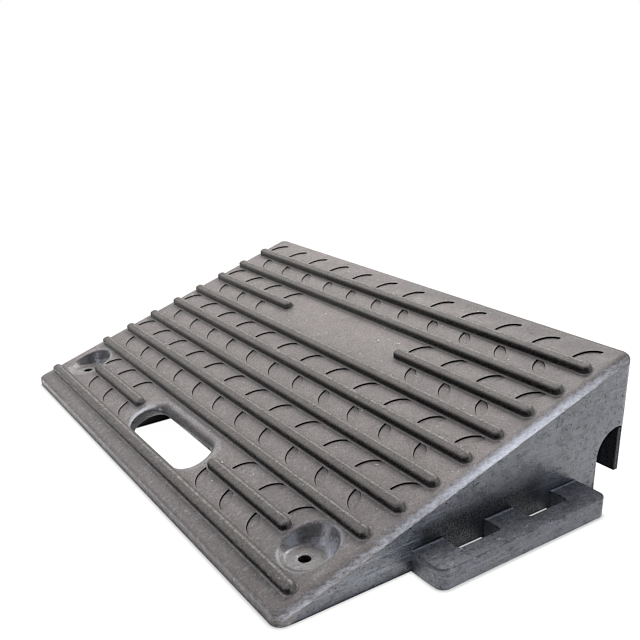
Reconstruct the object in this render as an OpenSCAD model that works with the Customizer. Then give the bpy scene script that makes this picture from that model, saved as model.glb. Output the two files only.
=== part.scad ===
// Portable plastic kerb ramp: a hollow moulded wedge with a ribbed tread deck, a hand slot,
// two dished fixing cups, a cable channel behind the kerb edge and a ladder-shaped link tab.
// X runs across the ramp (the link tab is on +X), Y from the toe up to the kerb, Z up from the ground.
// The origin lies on the ground in the middle of the wedge's footprint.

/* [Ramp] */
// Width of the wedge across the tread, without the link tab
ramp_w = 490; // [420:1:560]
// Length of the wedge on the ground, toe to kerb face
ramp_l = 304; // [280:1:360]
// Height of the deck at the kerb edge
kerb_h = 104; // [85:1:130]
// Height of the deck at the toe
toe_h = 9; // [8:0.5:14]
// Round on the toe's upper edge
toe_round = 4; // [2:0.5:5]
// Round on the kerb's upper edge
kerb_round = 7; // [2:0.5:8]
// Round on the two long edges of the deck
side_round = 7; // [4:0.5:9]
// Round on the four upright corners
corner_round = 8; // [4:0.5:10]

/* [Walls] */
// Thickness of the deck under the tread panels
plate_t = 5.6; // [4:0.1:8]
// Thickness of the tread panels, which is also the depth of the leaf pockets
panel_t = 1.2; // [1:0.1:3]
// Thickness of the two side walls
wall_t = 7; // [5:0.5:9]
// Thickness of the kerb wall
kerb_t = 6.4; // [5:0.2:8]
// Gap under the kerb wall, where water runs into the channel
kerb_clear = 6.5; // [3:0.5:9]
// How far the kerb wall's feet stand in from the side walls' faces
foot_inset = 2.5; // [1:0.5:4]
// Length of the solid rail under the toe
toe_rail_l = 15; // [10:1:17]

/* [Tread bars] */
// Distance up the slope from the toe to the first row
first_row = 19; // [16:0.5:22]
// Distance down the slope from the kerb edge to the last row
last_row = 38; // [30:1:48]
// Width of a bar
bar_w = 9; // [7:0.5:11]
// Height of a bar above the deck
bar_h = 5.2; // [4:0.2:7]
// Round on the upper edges of a bar
bar_round = 2.6; // [1.5:0.1:3]
// Distance from the end of a full bar to the side of the ramp
bar_inset = 8.5; // [8:0.5:14]
// Gap between the hand slot's lip and the short bars beside it
slot_bar_gap = 3; // [1:0.5:10]
// Distance from the outer end of those short bars to the side of the ramp
slot_bar_inset = 59; // [54:1:70]
// Half the gap between the short bars beside the bare panel
panel_bar_gap = 84; // [70:1:100]

/* [Leaf pockets] */
// Length of a leaf pocket, tip to tip
leaf_l = 23; // [18:0.5:25]
// Width of a leaf pocket
leaf_w = 9.4; // [6:0.2:11]
// Spacing of the leaves along a row
leaf_pitch = 40.4; // [34:0.2:50]
// Slant of a leaf from the row
leaf_slant = 45; // [35:1:55]
// Bare margin between the last leaf and the side of the ramp
leaf_margin = 12; // [10:1:20]
// How far the leaf pattern lies to the left of the ramp's middle
leaf_left = 2.4; // [0:0.2:4]
// How far the leaves lie uphill of the middle between two rows
leaf_up = 1.1; // [0:0.1:2]

/* [Hand slot] */
// Length of the opening
slot_l = 118; // [100:1:124]
// Width of the lip between the opening and the first row
lip_toe = 2; // [1:0.2:4]
// Width of the lip on the uphill side of the opening
lip_up = 11; // [10:0.5:14]
// Width of the lip at the two ends of the opening
lip_end = 8; // [6:0.5:10]
// Gap between the lip and the third row
lip_gap = 1; // [0.5:0.5:3]
// Height above the ground at which the opening starts to widen
lip_z = 16; // [14:0.5:18]
// Growth of the opening on each side for each millimetre above that height
lip_flare = 0.7; // [0.4:0.02:0.74]
// Wall of the collar round the opening
collar_t = 5; // [3:0.5:6]
// Depth of the collar below the top of the deck
collar_h = 9; // [8:0.5:14]

/* [Fixing cups] */
// Distance of a cup's middle from the side of the ramp
cup_inset = 34.5; // [33:0.5:38]
// How far a cup's middle lies nearer to the toe than the second row
cup_back = 1.4; // [0:0.2:3]
// Gap between the boss that holds a cup and the middles of the rows on its two sides
boss_gap = 2.7; // [2:0.1:4]
// Height of the cup's level floor above the ground
cup_floor_z = 15; // [12:0.5:17]
// Radius of the cup's floor
cup_floor_r = 15; // [12:0.5:16]
// Growth of the cup's radius for each millimetre above the floor
cup_flare = 0.5; // [0.4:0.02:0.7]
// Diameter of the fixing hole
hole_d = 8; // [6:0.5:12]
// How far the hole lies nearer to the toe than the cup's middle
hole_shift = 2.5; // [0:0.5:4]

/* [Cable channel] */
// Radius of the channel's round roof
channel_r = 20.3; // [16:0.1:24]
// Height of the roof's centre above the ground
channel_z = 25.3; // [20:0.1:30]
// Distance of the roof's centre from the kerb face
channel_back = 10; // [8:0.5:12]

/* [Link tab] */
// How far the tab stands out from the side wall
tab_reach = 30; // [26:0.5:36]
// Thickness of the tab
tab_t = 16; // [12:0.5:18]
// Width of each of the three arms
tab_arm_w = 26; // [20:0.5:30]
// Length of each of the two windows
tab_window_l = 36.5; // [30:0.5:42]
// Width of the bar that joins the arms
tab_bar_w = 14; // [10:0.5:18]
// Distance from the toe to the tab's near edge
tab_y = 100.4; // [92:0.2:106]
// Round on the tab's outer corners
tab_round = 7; // [3:0.5:9]
// Round on the corners of the windows
window_round = 2.5; // [1:0.5:5]
// Room round a neighbour's tab where it passes under the other side wall
link_gap = 0.8; // [0.4:0.1:1.5]
// Height of the gap under the right wall at each window, where water runs out
window_relief = 3; // [2:0.5:5]

/* [Ribs] */
// Thickness of the ribs under the deck
rib_t = 5; // [4:0.5:7]
// Distance from the side of the ramp to the outermost rib that runs from toe to kerb
rib_inset = 87; // [80:1:96]
// Distance from the toe to the first cross rib
cross_first = 112; // [100:1:124]
// Spacing of the cross ribs
cross_pitch = 64; // [54:1:70]
// Height of the cross ribs' lower edge above the ground
cross_clear = 20; // [18.5:0.5:24]

/* [Hidden] */
$fn = 96;

// Charcoal of the moulding, and the darker tone of its hidden inside
deck_colour = "#59565a";
wall_colour = "#4a4b50";
bar_colour = "#605d60";
rib_colour = "#3b3b3f";

// Deck plane
slope = atan2(kerb_h - toe_h, ramp_l);
slope_l = sqrt(pow(ramp_l, 2) + pow(kerb_h - toe_h, 2));
toe_edge = -ramp_l / 2;
kerb_face = ramp_l / 2;
side_face = ramp_w / 2;
skin_t = plate_t + panel_t;
// Spare length that lets a cutting shape pass right through what it cuts
over = 1;
big = 2 * (ramp_w + ramp_l);

// Counts of the repeated pieces, as listed in NODES
row_count = 10;
rib_count = 5;
cross_count = 3;

// Bar rows, measured up the slope from the toe
row_pitch = (slope_l - first_row - last_row) / (row_count - 1);
function row_v(row) = first_row + (row - 1) * row_pitch;
bar_end = side_face - bar_inset;
// The rows whose middle is left open, one by the hand slot and one by the bare panel
slot_row_index = 2;
panel_row_index = 8;

// Middles of the cups and the fixing holes
cup_x = side_face - cup_inset;
cup_mid_y = toe_edge + row_v(slot_row_index) * cos(slope) - cup_back;
cup_v = row_v(slot_row_index) - cup_back / cos(slope);
hole_y = cup_mid_y - hole_shift;
boss_r = row_pitch * cos(slope) - boss_gap;

// Channel and kerb wall
channel_y = kerb_face - channel_back;
jamb_y = channel_y - channel_r;
// The kerb wall's feet end just below the point where the channel's roof meets the kerb face
foot_gap = 0.3;
foot_top = channel_z + sqrt(pow(channel_r, 2) - pow(channel_back, 2)) - foot_gap;

// Tab, from its near edge to its far edge
tab_start = toe_edge + tab_y;
tab_l = 3 * tab_arm_w + 2 * tab_window_l;
tab_step = tab_arm_w + tab_window_l;

// Hand slot, between the rows before and after the slot's own row, on the ground plan
slot_from = toe_edge + (row_v(slot_row_index - 1) + bar_w / 2) * cos(slope) + lip_toe;
slot_to = toe_edge + (row_v(slot_row_index + 1) - bar_w / 2) * cos(slope) - lip_gap - lip_up;
slot_w = slot_to - slot_from;
slot_mid_y = (slot_from + slot_to) / 2;
slot_bar_start = slot_l / 2 + lip_end + slot_bar_gap;
// The lip round it
lip_l = slot_l + 2 * lip_end;
lip_w = slot_w + lip_toe + lip_up;
lip_mid_y = slot_mid_y + (lip_up - lip_toe) / 2;

// Leaf outline: two equal arcs that meet at the tips
leaf_arc_r = (pow(leaf_l, 2) + pow(leaf_w, 2)) / (4 * leaf_w);
leaf_reach_x = leaf_l * cos(leaf_slant) / 2;
leaf_limit = side_face - leaf_margin - leaf_reach_x;
// Room kept bare between a leaf's middle and the middle of the slot, a cup or the bare panel
leaf_keep_slot = lip_l / 2 + leaf_reach_x;
leaf_keep_cup = boss_r + leaf_w / 2;
leaf_keep_panel = panel_bar_gap;
function leaf_v(panel) = row_v(panel) + row_pitch / 2 + leaf_up;

// Ribs from toe to kerb: their middles, and where they start behind the toe rail or a cross rib
rib_pitch = 2 * (side_face - rib_inset) / (rib_count - 1);
function rib_x(rib) = (rib - (rib_count + 1) / 2) * rib_pitch;
function rib_start(rib) =
    toe_edge + (abs(rib_x(rib)) < lip_l / 2 ? cross_first + rib_t / 2 : toe_rail_l);
function cross_y(rib) = toe_edge + cross_first + (rib - 1) * cross_pitch;

// Places a child on the deck: X across, Y up the slope from the toe, Z out of the deck
module on_deck() {
    translate([0, toe_edge, toe_h])
        rotate([slope, 0, 0])
            children();
}

// Outline of the ramp seen from the side, with its rounded toe and kerb edges
module side_outline() {
    toe_z = toe_h + toe_round * tan(slope) - toe_round / cos(slope);
    kerb_z = kerb_h - kerb_round * tan(slope) - kerb_round / cos(slope);
    toe_tangent = [toe_edge + toe_round * (1 - sin(slope)), toe_z + toe_round * cos(slope)];
    kerb_tangent = [kerb_face - kerb_round * (1 + sin(slope)), kerb_z + kerb_round * cos(slope)];
    polygon([[toe_edge, 0], [kerb_face, 0], [kerb_face, kerb_z], kerb_tangent, toe_tangent,
             [toe_edge, toe_z]]);
    translate([toe_edge + toe_round, toe_z]) circle(toe_round);
    translate([kerb_face - kerb_round, kerb_z]) circle(kerb_round);
}

// Section across the ramp, square to the deck, with its long edges rounded
module deck_section() {
    translate([-side_face, -big]) square([ramp_w, big - side_round]);
    translate([side_round - side_face, -big]) square([ramp_w - 2 * side_round, big]);
    for (side = [-1, 1])
        translate([side * (side_face - side_round), -side_round]) circle(side_round);
}

// Plan outline of the wedge, with its upright corners rounded
module plan_outline() {
    rounded_plan(ramp_w, ramp_l, corner_round);
}

// Rectangle about the origin with rounded corners
module rounded_plan(w, l, r) {
    square([w - 2 * r, l], center = true);
    square([w, l - 2 * r], center = true);
    for (x = [-1, 1], y = [-1, 1])
        translate([x * (w / 2 - r), y * (l / 2 - r)]) circle(r);
}

// The whole outside of the wedge as one solid block
module envelope() {
    intersection() {
        translate([-side_face, 0, 0])
            rotate([90, 0, 90])
                linear_extrude(ramp_w) side_outline();
        on_deck()
            translate([0, slope_l + big / 4, 0])
                rotate([90, 0, 0])
                    linear_extrude(slope_l + big / 2) deck_section();
        linear_extrude(kerb_h + over) plan_outline();
    }
}

// The part of the wedge between two depths below the deck, from one place up the slope to another
module deck_layer(top, bottom, from = -big / 4, to = big / 2) {
    intersection() {
        envelope();
        on_deck()
            translate([-big / 2, from, -bottom])
                cube([big, to - from, bottom - top]);
    }
}

// The part of the wedge under the deck, inside a box given by its corners on the ground plan
module under_deck(x0, x1, y0, y1, z0 = -over) {
    intersection() {
        deck_layer(skin_t, big);
        translate([x0, y0, z0])
            cube([x1 - x0, y1 - y0, kerb_h - z0]);
    }
}

// Slot outline with half-round ends
module stadium(l, w) {
    square([l - w, w], center = true);
    for (side = [-1, 1])
        translate([side * (l - w) / 2, 0]) circle(w / 2);
}

// Upright core that the hand slot's lip fills
module lip_core() {
    translate([0, lip_mid_y, -over])
        linear_extrude(kerb_h) stadium(lip_l, lip_w);
}

// Upright core that a fixing cup's boss fills
module boss_core(side) {
    translate([side * cup_x, cup_mid_y, -over])
        cylinder(r = boss_r, h = kerb_h);
}

// Everything that stands up through the deck
module deck_cores() {
    lip_core();
    for (side = [-1, 1]) boss_core(side);
}

// Sloping plate that carries the tread
module deck_plate() {
    color(deck_colour)
        difference() {
            deck_layer(panel_t, skin_t);
            deck_cores();
        }
}

// Solid rail under the toe
module toe_rail() {
    color(wall_colour)
        under_deck(-side_face, side_face, toe_edge, toe_edge + toe_rail_l);
}

// Channel that runs through both side walls and is open towards the kerb
module channel_cut() {
    translate([-side_face - over, channel_y, channel_z])
        rotate([0, 90, 0])
            cylinder(r = channel_r, h = ramp_w + 2 * over);
    translate([-side_face - over, jamb_y, -over])
        cube([ramp_w + 2 * over, channel_r + channel_back + over, channel_z + over]);
}

// Side wall; side is -1 for the left and 1 for the right
module side_wall(side) {
    inner = side_face - wall_t;
    difference() {
        under_deck(side < 0 ? -side_face : inner, side < 0 ? -inner : side_face,
                   toe_edge + toe_rail_l, kerb_face);
        channel_cut();
    }
}

// The left wall has three notches that let a neighbour's tab in; the teeth between them drop into
// the neighbour's windows
module left_wall() {
    color(wall_colour)
        difference() {
            side_wall(-1);
            for (arm = [0 : 2])
                translate([-side_face - over, tab_start + arm * tab_step - link_gap, -over])
                    cube([wall_t + 2 * over, tab_arm_w + 2 * link_gap, tab_t + link_gap + over]);
        }
}

// The right wall is relieved at the ground behind each window of the tab
module right_wall() {
    color(wall_colour)
        difference() {
            side_wall(1);
            for (window = [0 : 1])
                translate([side_face - wall_t - over, tab_start + tab_arm_w + window * tab_step, -over])
                    cube([wall_t + 2 * over, tab_window_l, window_relief + over]);
        }
}

// Upright wall at the kerb, between the side walls above the channel and reaching into its ends below
module kerb_wall() {
    inner = side_face - wall_t;
    foot = side_face - foot_inset;
    color(wall_colour) {
        under_deck(-inner, inner, kerb_face - kerb_t, kerb_face, kerb_clear);
        intersection() {
            envelope();
            for (side = [-1, 1])
                translate([side < 0 ? -foot : inner, kerb_face - kerb_t, kerb_clear])
                    cube([foot - inner, kerb_t, foot_top - kerb_clear]);
        }
    }
}

// Opening of the hand slot, which widens upwards into its lip
module slot_opening() {
    end_x = (slot_l - slot_w) / 2;
    rise = kerb_h - lip_z;
    grown = slot_w / 2 + lip_flare * rise;
    translate([0, slot_mid_y, -over])
        linear_extrude(kerb_h) stadium(slot_l, slot_w);
    translate([-end_x, slot_mid_y, lip_z])
        rotate([90, 0, 90])
            linear_extrude(2 * end_x)
                polygon([[-slot_w / 2, 0], [slot_w / 2, 0], [grown, rise], [-grown, rise]]);
    for (side = [-1, 1])
        translate([side * end_x, slot_mid_y, lip_z])
            cylinder(r1 = slot_w / 2, r2 = grown, h = rise);
}

// Lip of the hand slot in the deck, and the collar that hangs below it for the fingers to hold
module handle_collar() {
    color(wall_colour)
        difference() {
            union() {
                intersection() {
                    deck_layer(0, skin_t);
                    lip_core();
                }
                intersection() {
                    deck_layer(skin_t, collar_h);
                    translate([0, slot_mid_y, -over])
                        linear_extrude(kerb_h) stadium(slot_l + 2 * collar_t, slot_w + 2 * collar_t);
                }
            }
            slot_opening();
        }
}

// Boss with a dished cup, a level floor and a fixing hole down to the ground
module fixing_cup(side) {
    dish_h = kerb_h - cup_floor_z;
    color(deck_colour)
        difference() {
            intersection() {
                envelope();
                boss_core(side);
            }
            translate([side * cup_x, cup_mid_y, cup_floor_z])
                cylinder(r1 = cup_floor_r, r2 = cup_floor_r + cup_flare * dish_h, h = dish_h);
            translate([side * cup_x, hole_y, -over])
                cylinder(d = hole_d, h = cup_floor_z + 2 * over);
        }
}

module left_fixing_cup() {
    fixing_cup(-1);
}

module right_fixing_cup() {
    fixing_cup(1);
}

// Ladder of three arms and an outer bar, flat on the ground beside the right wall
module link_tab() {
    color(wall_colour)
        translate([side_face, tab_start, 0])
            linear_extrude(tab_t)
                difference() {
                    intersection() {
                        translate([0, tab_l / 2]) rounded_plan(2 * tab_reach, tab_l, tab_round);
                        square([tab_reach, tab_l]);
                    }
                    for (window = [0 : 1])
                        translate([0, tab_arm_w + window * tab_step + tab_window_l / 2])
                            rounded_plan(2 * (tab_reach - tab_bar_w), tab_window_l, window_round);
                }
}

// One leaf: the lens between two arcs, lying along X
module leaf() {
    intersection_for (side = [-1, 1])
        translate([0, side * (leaf_arc_r - leaf_w / 2)]) circle(leaf_arc_r);
}

// True where a leaf of this panel stays clear of the slot, the cups and the bare panel
function leaf_fits(panel, x) =
    let (by_slot = panel == slot_row_index || panel == slot_row_index - 1)
    let (by_bare = panel == panel_row_index || panel == panel_row_index - 1)
    abs(x) <= leaf_limit
    && !(by_slot && abs(x) < leaf_keep_slot)
    && !(by_bare && abs(x) < leaf_keep_panel)
    && norm([abs(x) - cup_x, leaf_v(panel) - cup_v]) > leaf_keep_cup;

// Middles of a panel's leaves; each panel is half a pitch out of step with the next
function leaf_places(panel) =
    let (shift = (panel % 2 == 1 ? 0 : leaf_pitch / 2) - leaf_left)
    let (most = ceil(side_face / leaf_pitch))
    [for (step = [-most : most])
        let (x = shift + step * leaf_pitch)
        if (leaf_fits(panel, x)) x];

// Row of slanted leaves across a panel, falling to the right on odd panels and rising on even ones
module leaf_row(panel) {
    slant = panel % 2 == 1 ? -leaf_slant : leaf_slant;
    on_deck()
        for (x = leaf_places(panel))
            translate([x, leaf_v(panel), -panel_t - over])
                rotate([0, 0, slant])
                    linear_extrude(panel_t + 2 * over) leaf();
}

// Strip of tread from one bar row to the next, with leaves cut through to the plate below
module tread_panel(panel) {
    from = panel == 0 ? -big / 4 : row_v(panel);
    to = panel == row_count ? big / 2 : row_v(panel + 1);
    color(deck_colour)
        difference() {
            deck_layer(0, panel_t, from, to);
            deck_cores();
            if (panel > 0) leaf_row(panel);
        }
}

// Half of a bar's section: flat top, rounded upper edge
module bar_half_section() {
    square([bar_w / 2 - bar_round, bar_h]);
    square([bar_w / 2, bar_h - bar_round]);
    translate([bar_w / 2 - bar_round, bar_h - bar_round])
        circle(bar_round);
}

// Bar from x0 to x1 on a row, with rounded ends
module tread_bar(row, x0, x1) {
    end = bar_w / 2;
    color(bar_colour)
        on_deck()
            translate([0, row_v(row), 0]) {
                translate([x0 + end, 0, 0])
                    rotate([90, 0, 90])
                        linear_extrude(x1 - x0 - bar_w) {
                            bar_half_section();
                            mirror([1, 0, 0]) bar_half_section();
                        }
                for (x = [x0 + end, x1 - end])
                    translate([x, 0, 0])
                        rotate_extrude()
                            intersection() {
                                bar_half_section();
                                square([bar_w, bar_h]);
                            }
            }
}

// Short bar on one side of a row's open middle
module short_bar(row, side, gap, end) {
    tread_bar(row, side < 0 ? -end : gap, side < 0 ? -gap : end);
}

// Rib from toe to kerb, seated against the toe rail, or behind the hand slot against a cross rib
module long_rib(rib) {
    color(rib_colour)
        under_deck(rib_x(rib) - rib_t / 2, rib_x(rib) + rib_t / 2, rib_start(rib), jamb_y);
}

// Rib across the ramp, in lengths between the long ribs and clear of a neighbour's tab
module cross_rib(index) {
    y = cross_y(index);
    inner = side_face - wall_t;
    color(rib_colour)
        difference() {
            under_deck(-inner, inner, y - rib_t / 2, y + rib_t / 2, cross_clear);
            for (rib = [1 : rib_count])
                if (rib_start(rib) < y)
                    translate([rib_x(rib) - rib_t / 2, y - rib_t, 0])
                        cube([rib_t, 2 * rib_t, kerb_h]);
        }
}

deck_plate();
toe_rail();
left_wall();
right_wall();
kerb_wall();
handle_collar();
left_fixing_cup();
right_fixing_cup();
link_tab();
tread_panel(0);  // tread_panel_toe
for (panel = [1 : row_count])
    tread_panel(panel);
for (row = [1 : row_count])
    if (row != slot_row_index && row != panel_row_index)
        tread_bar(row, -bar_end, bar_end);
short_bar(slot_row_index, -1, slot_bar_start, side_face - slot_bar_inset);  // tread_bar_2_left
short_bar(slot_row_index, 1, slot_bar_start, side_face - slot_bar_inset);  // tread_bar_2_right
short_bar(panel_row_index, -1, panel_bar_gap, bar_end);  // tread_bar_8_left
short_bar(panel_row_index, 1, panel_bar_gap, bar_end);  // tread_bar_8_right
for (rib = [1 : rib_count])
    long_rib(rib);
for (rib = [1 : cross_count])
    cross_rib(rib);
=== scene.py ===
# %% [markdown]
# # Plastic kerb ramp
# A portable kerb ramp is one hollow wedge of recycled plastic: a sloping tread with raised bars and
# leaf-shaped pockets, a hand slot, two dished cups for bolts, two side walls, a kerb wall and a ladder-shaped
# tab that links it to its neighbour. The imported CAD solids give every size; this script dresses them.
# Each piece is a mesh of its own, in metres, in the frame of the CAD.

import math

import bmesh
import bpy
import numpy as np
from mathutils import Matrix, Vector
from mathutils.geometry import delaunay_2d_cdt


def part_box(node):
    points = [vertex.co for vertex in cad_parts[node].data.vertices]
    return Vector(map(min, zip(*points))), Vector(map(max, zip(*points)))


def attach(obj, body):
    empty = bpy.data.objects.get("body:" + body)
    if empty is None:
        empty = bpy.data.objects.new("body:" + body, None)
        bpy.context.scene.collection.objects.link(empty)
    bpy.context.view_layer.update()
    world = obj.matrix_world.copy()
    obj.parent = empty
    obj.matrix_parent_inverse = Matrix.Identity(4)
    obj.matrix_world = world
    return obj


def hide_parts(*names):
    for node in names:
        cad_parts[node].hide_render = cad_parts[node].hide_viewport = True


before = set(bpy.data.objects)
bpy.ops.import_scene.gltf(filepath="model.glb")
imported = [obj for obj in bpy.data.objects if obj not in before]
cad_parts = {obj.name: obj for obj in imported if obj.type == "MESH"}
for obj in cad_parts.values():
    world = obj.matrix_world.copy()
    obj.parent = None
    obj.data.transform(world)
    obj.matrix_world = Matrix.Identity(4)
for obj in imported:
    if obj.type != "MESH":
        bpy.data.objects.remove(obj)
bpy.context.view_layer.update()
scene = bpy.context.scene
MM = 0.001


def put(name, data):
    """A new object in the scene, for a mesh, a light or a camera."""
    thing = bpy.data.objects.new(name, data)
    scene.collection.objects.link(thing)
    return thing


# %% [markdown]
# ## Axes of the sloping deck
# Almost everything on a ramp sits on its slope, so it is easiest to work in slope axes: x across, v up the
# slope from the toe, h out of the deck. Two lines of the CAD deck, the second and the tenth bar row, fix the
# slope exactly, which is safer than typing the angle a second time.

# %% Slope axes
row_2 = Vector((0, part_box("tread_panel_2")[0].y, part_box("tread_panel_1")[1].z))
row_10 = Vector((0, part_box("tread_panel_10")[0].y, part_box("tread_panel_9")[1].z))
COS, SIN = (row_10 - row_2).normalized().yz
TAN = SIN / COS
SLOPE = math.atan(TAN)
TOE_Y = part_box("toe_rail")[0].y / MM
KERB_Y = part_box("kerb_wall")[1].y / MM
SIDE_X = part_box("right_wall")[1].x / MM
TOE_H = row_2.z / MM - (row_2.y / MM - TOE_Y) * TAN
ROW_PITCH = (row_10 - row_2).length / MM / 8
FIRST_ROW = (row_2.y / MM - TOE_Y) / COS - ROW_PITCH
LENGTH = KERB_Y - TOE_Y
# Depth of the deck slab, square to the slope and upright
SKIN = 6.8
SLAB = SKIN / COS
deck_matrix = Matrix.Translation((0, TOE_Y * MM, TOE_H * MM)) @ Matrix(
    ((1, 0, 0), (0, COS, -SIN), (0, SIN, COS))).to_4x4()


def row_v(row):
    """Distance of a bar row up the slope from the toe, in mm."""
    return FIRST_ROW + (row - 1) * ROW_PITCH


def on_deck(x, v, h):
    """Points in metres from places across, up the slope and out of the deck in mm."""
    x, v, h = np.broadcast_arrays(*(np.asarray(a, float) for a in (x, v, h)))
    return np.stack([x, TOE_Y + v * COS - h * SIN, TOE_H + v * SIN + h * COS], -1) * MM


def up_slope(y, h):
    """Where an upright line, y mm from the toe on the ground plan, meets the depth h of the deck."""
    return (y + h * SIN) / COS


print(f"slope {math.degrees(SLOPE):.2f} deg, rows {ROW_PITCH:.2f} mm apart, toe {TOE_H:.2f} mm high")

# %% [markdown]
# ## Camera
# The photograph looks down on the near right corner from about 26 degrees. The place, the lens and the shift
# of the frame were worked out from corners and bar ends, and the small roll is the photographer's tilt.

# %% Camera
CAMERA_AT = (0.59142, -0.32499, 0.31392)
VIEW = Vector((-0.75878, 0.48669, -0.43288)).normalized()
ROLL = math.radians(-2.554)
level = VIEW.cross(Vector((0, 0, 1))).normalized()
upright = level.cross(VIEW)
right = level * math.cos(ROLL) + upright * math.sin(ROLL)
top = upright * math.cos(ROLL) - level * math.sin(ROLL)
optics = bpy.data.cameras.new("photo_camera")
optics.sensor_width = 36.0
optics.lens = 46.40
optics.shift_x = -0.0280
optics.shift_y = 0.1722
optics.clip_start = 0.01
camera = put("photo_camera", optics)
camera.matrix_world = Matrix.Translation(CAMERA_AT) @ Matrix((right, top, -VIEW)).transposed().to_4x4()
scene.camera = camera
print("camera at", [round(a, 3) for a in camera.location], "lens", optics.lens)

# %% [markdown]
# ## Finishes
# The ramp is moulded from recycled polyethylene. Its skin is charcoal with cloudy patches from the mixed
# regrind, and has a fine dull grain from the mould. Use adds the rest: dust settles on what faces up, feet
# and wheels rub it off again, dragging leaves pale marks along the slope and scuffs on the edges, grit lies
# about, and dirt fills pits. Corners are painted dark as shade, and the wear attribute also carries painted
# highlights and painted shade. One function lays these down in that order, so the tread, the bars, the cups
# and the walls are the same stuff in different states. All patterns read Object coordinates, which run on
# from piece to piece. A black plastic looks grey mostly by what it mirrors at a low angle, so the body stays
# dark and the gloss does the rest.

# %% Helpers for materials


def linear(code):
    """An sRGB hex colour as linear RGBA."""
    parts = [int(code[i:i + 2], 16) / 255 for i in (1, 3, 5)]
    return [p / 12.92 if p <= 0.04045 else ((p + 0.055) / 1.055) ** 2.4 for p in parts] + [1.0]


RANGE, MATH, MIX = "ShaderNodeMapRange", "ShaderNodeMath", "ShaderNodeMix"


def add(tree, kind, inputs=(), **settings):
    """A new node; inputs, by name or in order, are values, sockets, or nodes that give their first output."""
    node = tree.nodes.new(kind)
    for key, value in settings.items():
        setattr(node, key, value)
    for key, value in inputs.items() if isinstance(inputs, dict) else enumerate(inputs):
        if isinstance(value, bpy.types.Node):
            value = value.outputs[0]
        if isinstance(value, bpy.types.NodeSocket):
            tree.links.new(value, node.inputs[key])
        else:
            node.inputs[key].default_value = value
    return node


def per_mm(size):
    """Scale of a texture whose features are this many millimetres wide."""
    return 1 / (size * MM)


# %% [markdown]
# Every mark starts as noise of a certain width, of which only a part counts, and most marks are stronger in
# one place than in another. Both are tables of real sizes, so that a mark can be changed without touching
# the nodes.

# %% Patterns of the marks
# A patch's width in mm, or its widths across, along and out of the slope; detail; roughness; distortion; and
# the values of the noise at which the mark begins and is full
NOISES = {
    # Darker and lighter regrind that met in the mould
    "clouds": (16, 6.0, 0.65, 0.6, 0.36, 0.66),
    # Dust that lies thicker and thinner
    "dust": (30, 8.0, 0.7, 0.0, 0.3, 0.7),
    # The mould's grain; the real one is finer, and would not show at this distance
    "grain": (1.2, 4.0, 0.75, 0.0, 0.3, 0.7),
    # Marks of dragging, about 50 mm long and 1.6 mm wide
    "drags": ((4, 50, 1.6), 4.0, 0.65, 0.0, 0.52, 0.78),
    # Crumbs of grit, about 1 mm wide
    "crumbs": (2.6, 1.0, 0.5, 0.0, 0.745, 0.79),
    # Scratches that break up the scuffs, about 5 mm long and 2 mm wide
    "scratches": ((2.2, 5, 2.2), 6.0, 0.75, 0.0, 0.28, 0.72),
    # Pits, about 1 mm wide, and blotches, about 7 mm wide, that hold dirt
    "pits": (2.2, 3.0, 0.7, 0.0, 0.42, 0.3),
    "blotches": ((6, 9, 5), 6.0, 0.75, 0.0, 0.5, 0.66),
    # Ripples where the skin sank as it cooled; they only bend the surface
    "ripples": (9, 2.0, 0.5, 0.0, 0.0, 1.0),
}
# Shares that change with the place: the axis, where the change starts and ends in mm, and the share there
SHARES = {
    # Less dust near the toe, so the tread is darker there
    "toe": ("Y", TOE_Y, TOE_Y + 18, 0.4, 1.0),
    # The strip along the kerb is rubbed, except on the left
    "kerb": ("Y", KERB_Y - 24, KERB_Y - 12, 1.0, 0.3),
    "left": ("X", -80, 120, 1.0, 0.0),
    # Drag marks are strongest near the toe
    "low": ("Y", -120, 20, 2.2, 0.7),
    # The foot, where it stands on the paper, is left out of the painted corner shade
    "raised": ("Z", 1.5, 5, 0.0, 1.0),
    # Painted dark, where wear is below zero, is strongest on the right
    "right": ("X", -200, 160, 0.62, 1.02),
}
# Two places on the right have less dust, so they are darker: the middle, how far off in metres, and the share
# in the middle
BARE_SPOTS = (((0.21, -0.11, 0.03), 0.11, 0.6), ((0.24, 0.15, 0.1), 0.16, 0.45))
# The share of such a place that is barest, and how far scratches break up the scuffs
BARE_CORE, SCRATCHED = 0.2, (0.15, 0.85)
DUST_THIN, DUST_THICK, FACES_UP = 0.6, 1.06, (0.5, 0.95)
GRIT, DIRT_AND_SHADE = "#d8d6d2", "#0c0b0b"
SCUFF_AND_HIGHLIGHT_GAIN, SCUFF_AND_HIGHLIGHT_RANGE = 1.4, (1.0, 2.0)
PAINTED_DARK_GAIN, PAINTED_DARK_RANGE = 1.3, (0.92, 1.4)
# Corners are painted dark as shade by occlusion: its reach in mm, and the values at which the shade starts
# and is full
CORNER_SHADE_REACH, CORNER_SHADE_RANGE = 3.0, (0.75, 0.3)
CLOUD_ROUGH, DIRT_AND_SHADE_ROUGH, DIRT_AND_SHADE_GLOSS = 0.14, 0.3, 0.1
RIPPLE_GAIN, BUMP = 2.0, 0.5
print("marks:", list(NOISES))

# %% The moulded plastic


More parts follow.
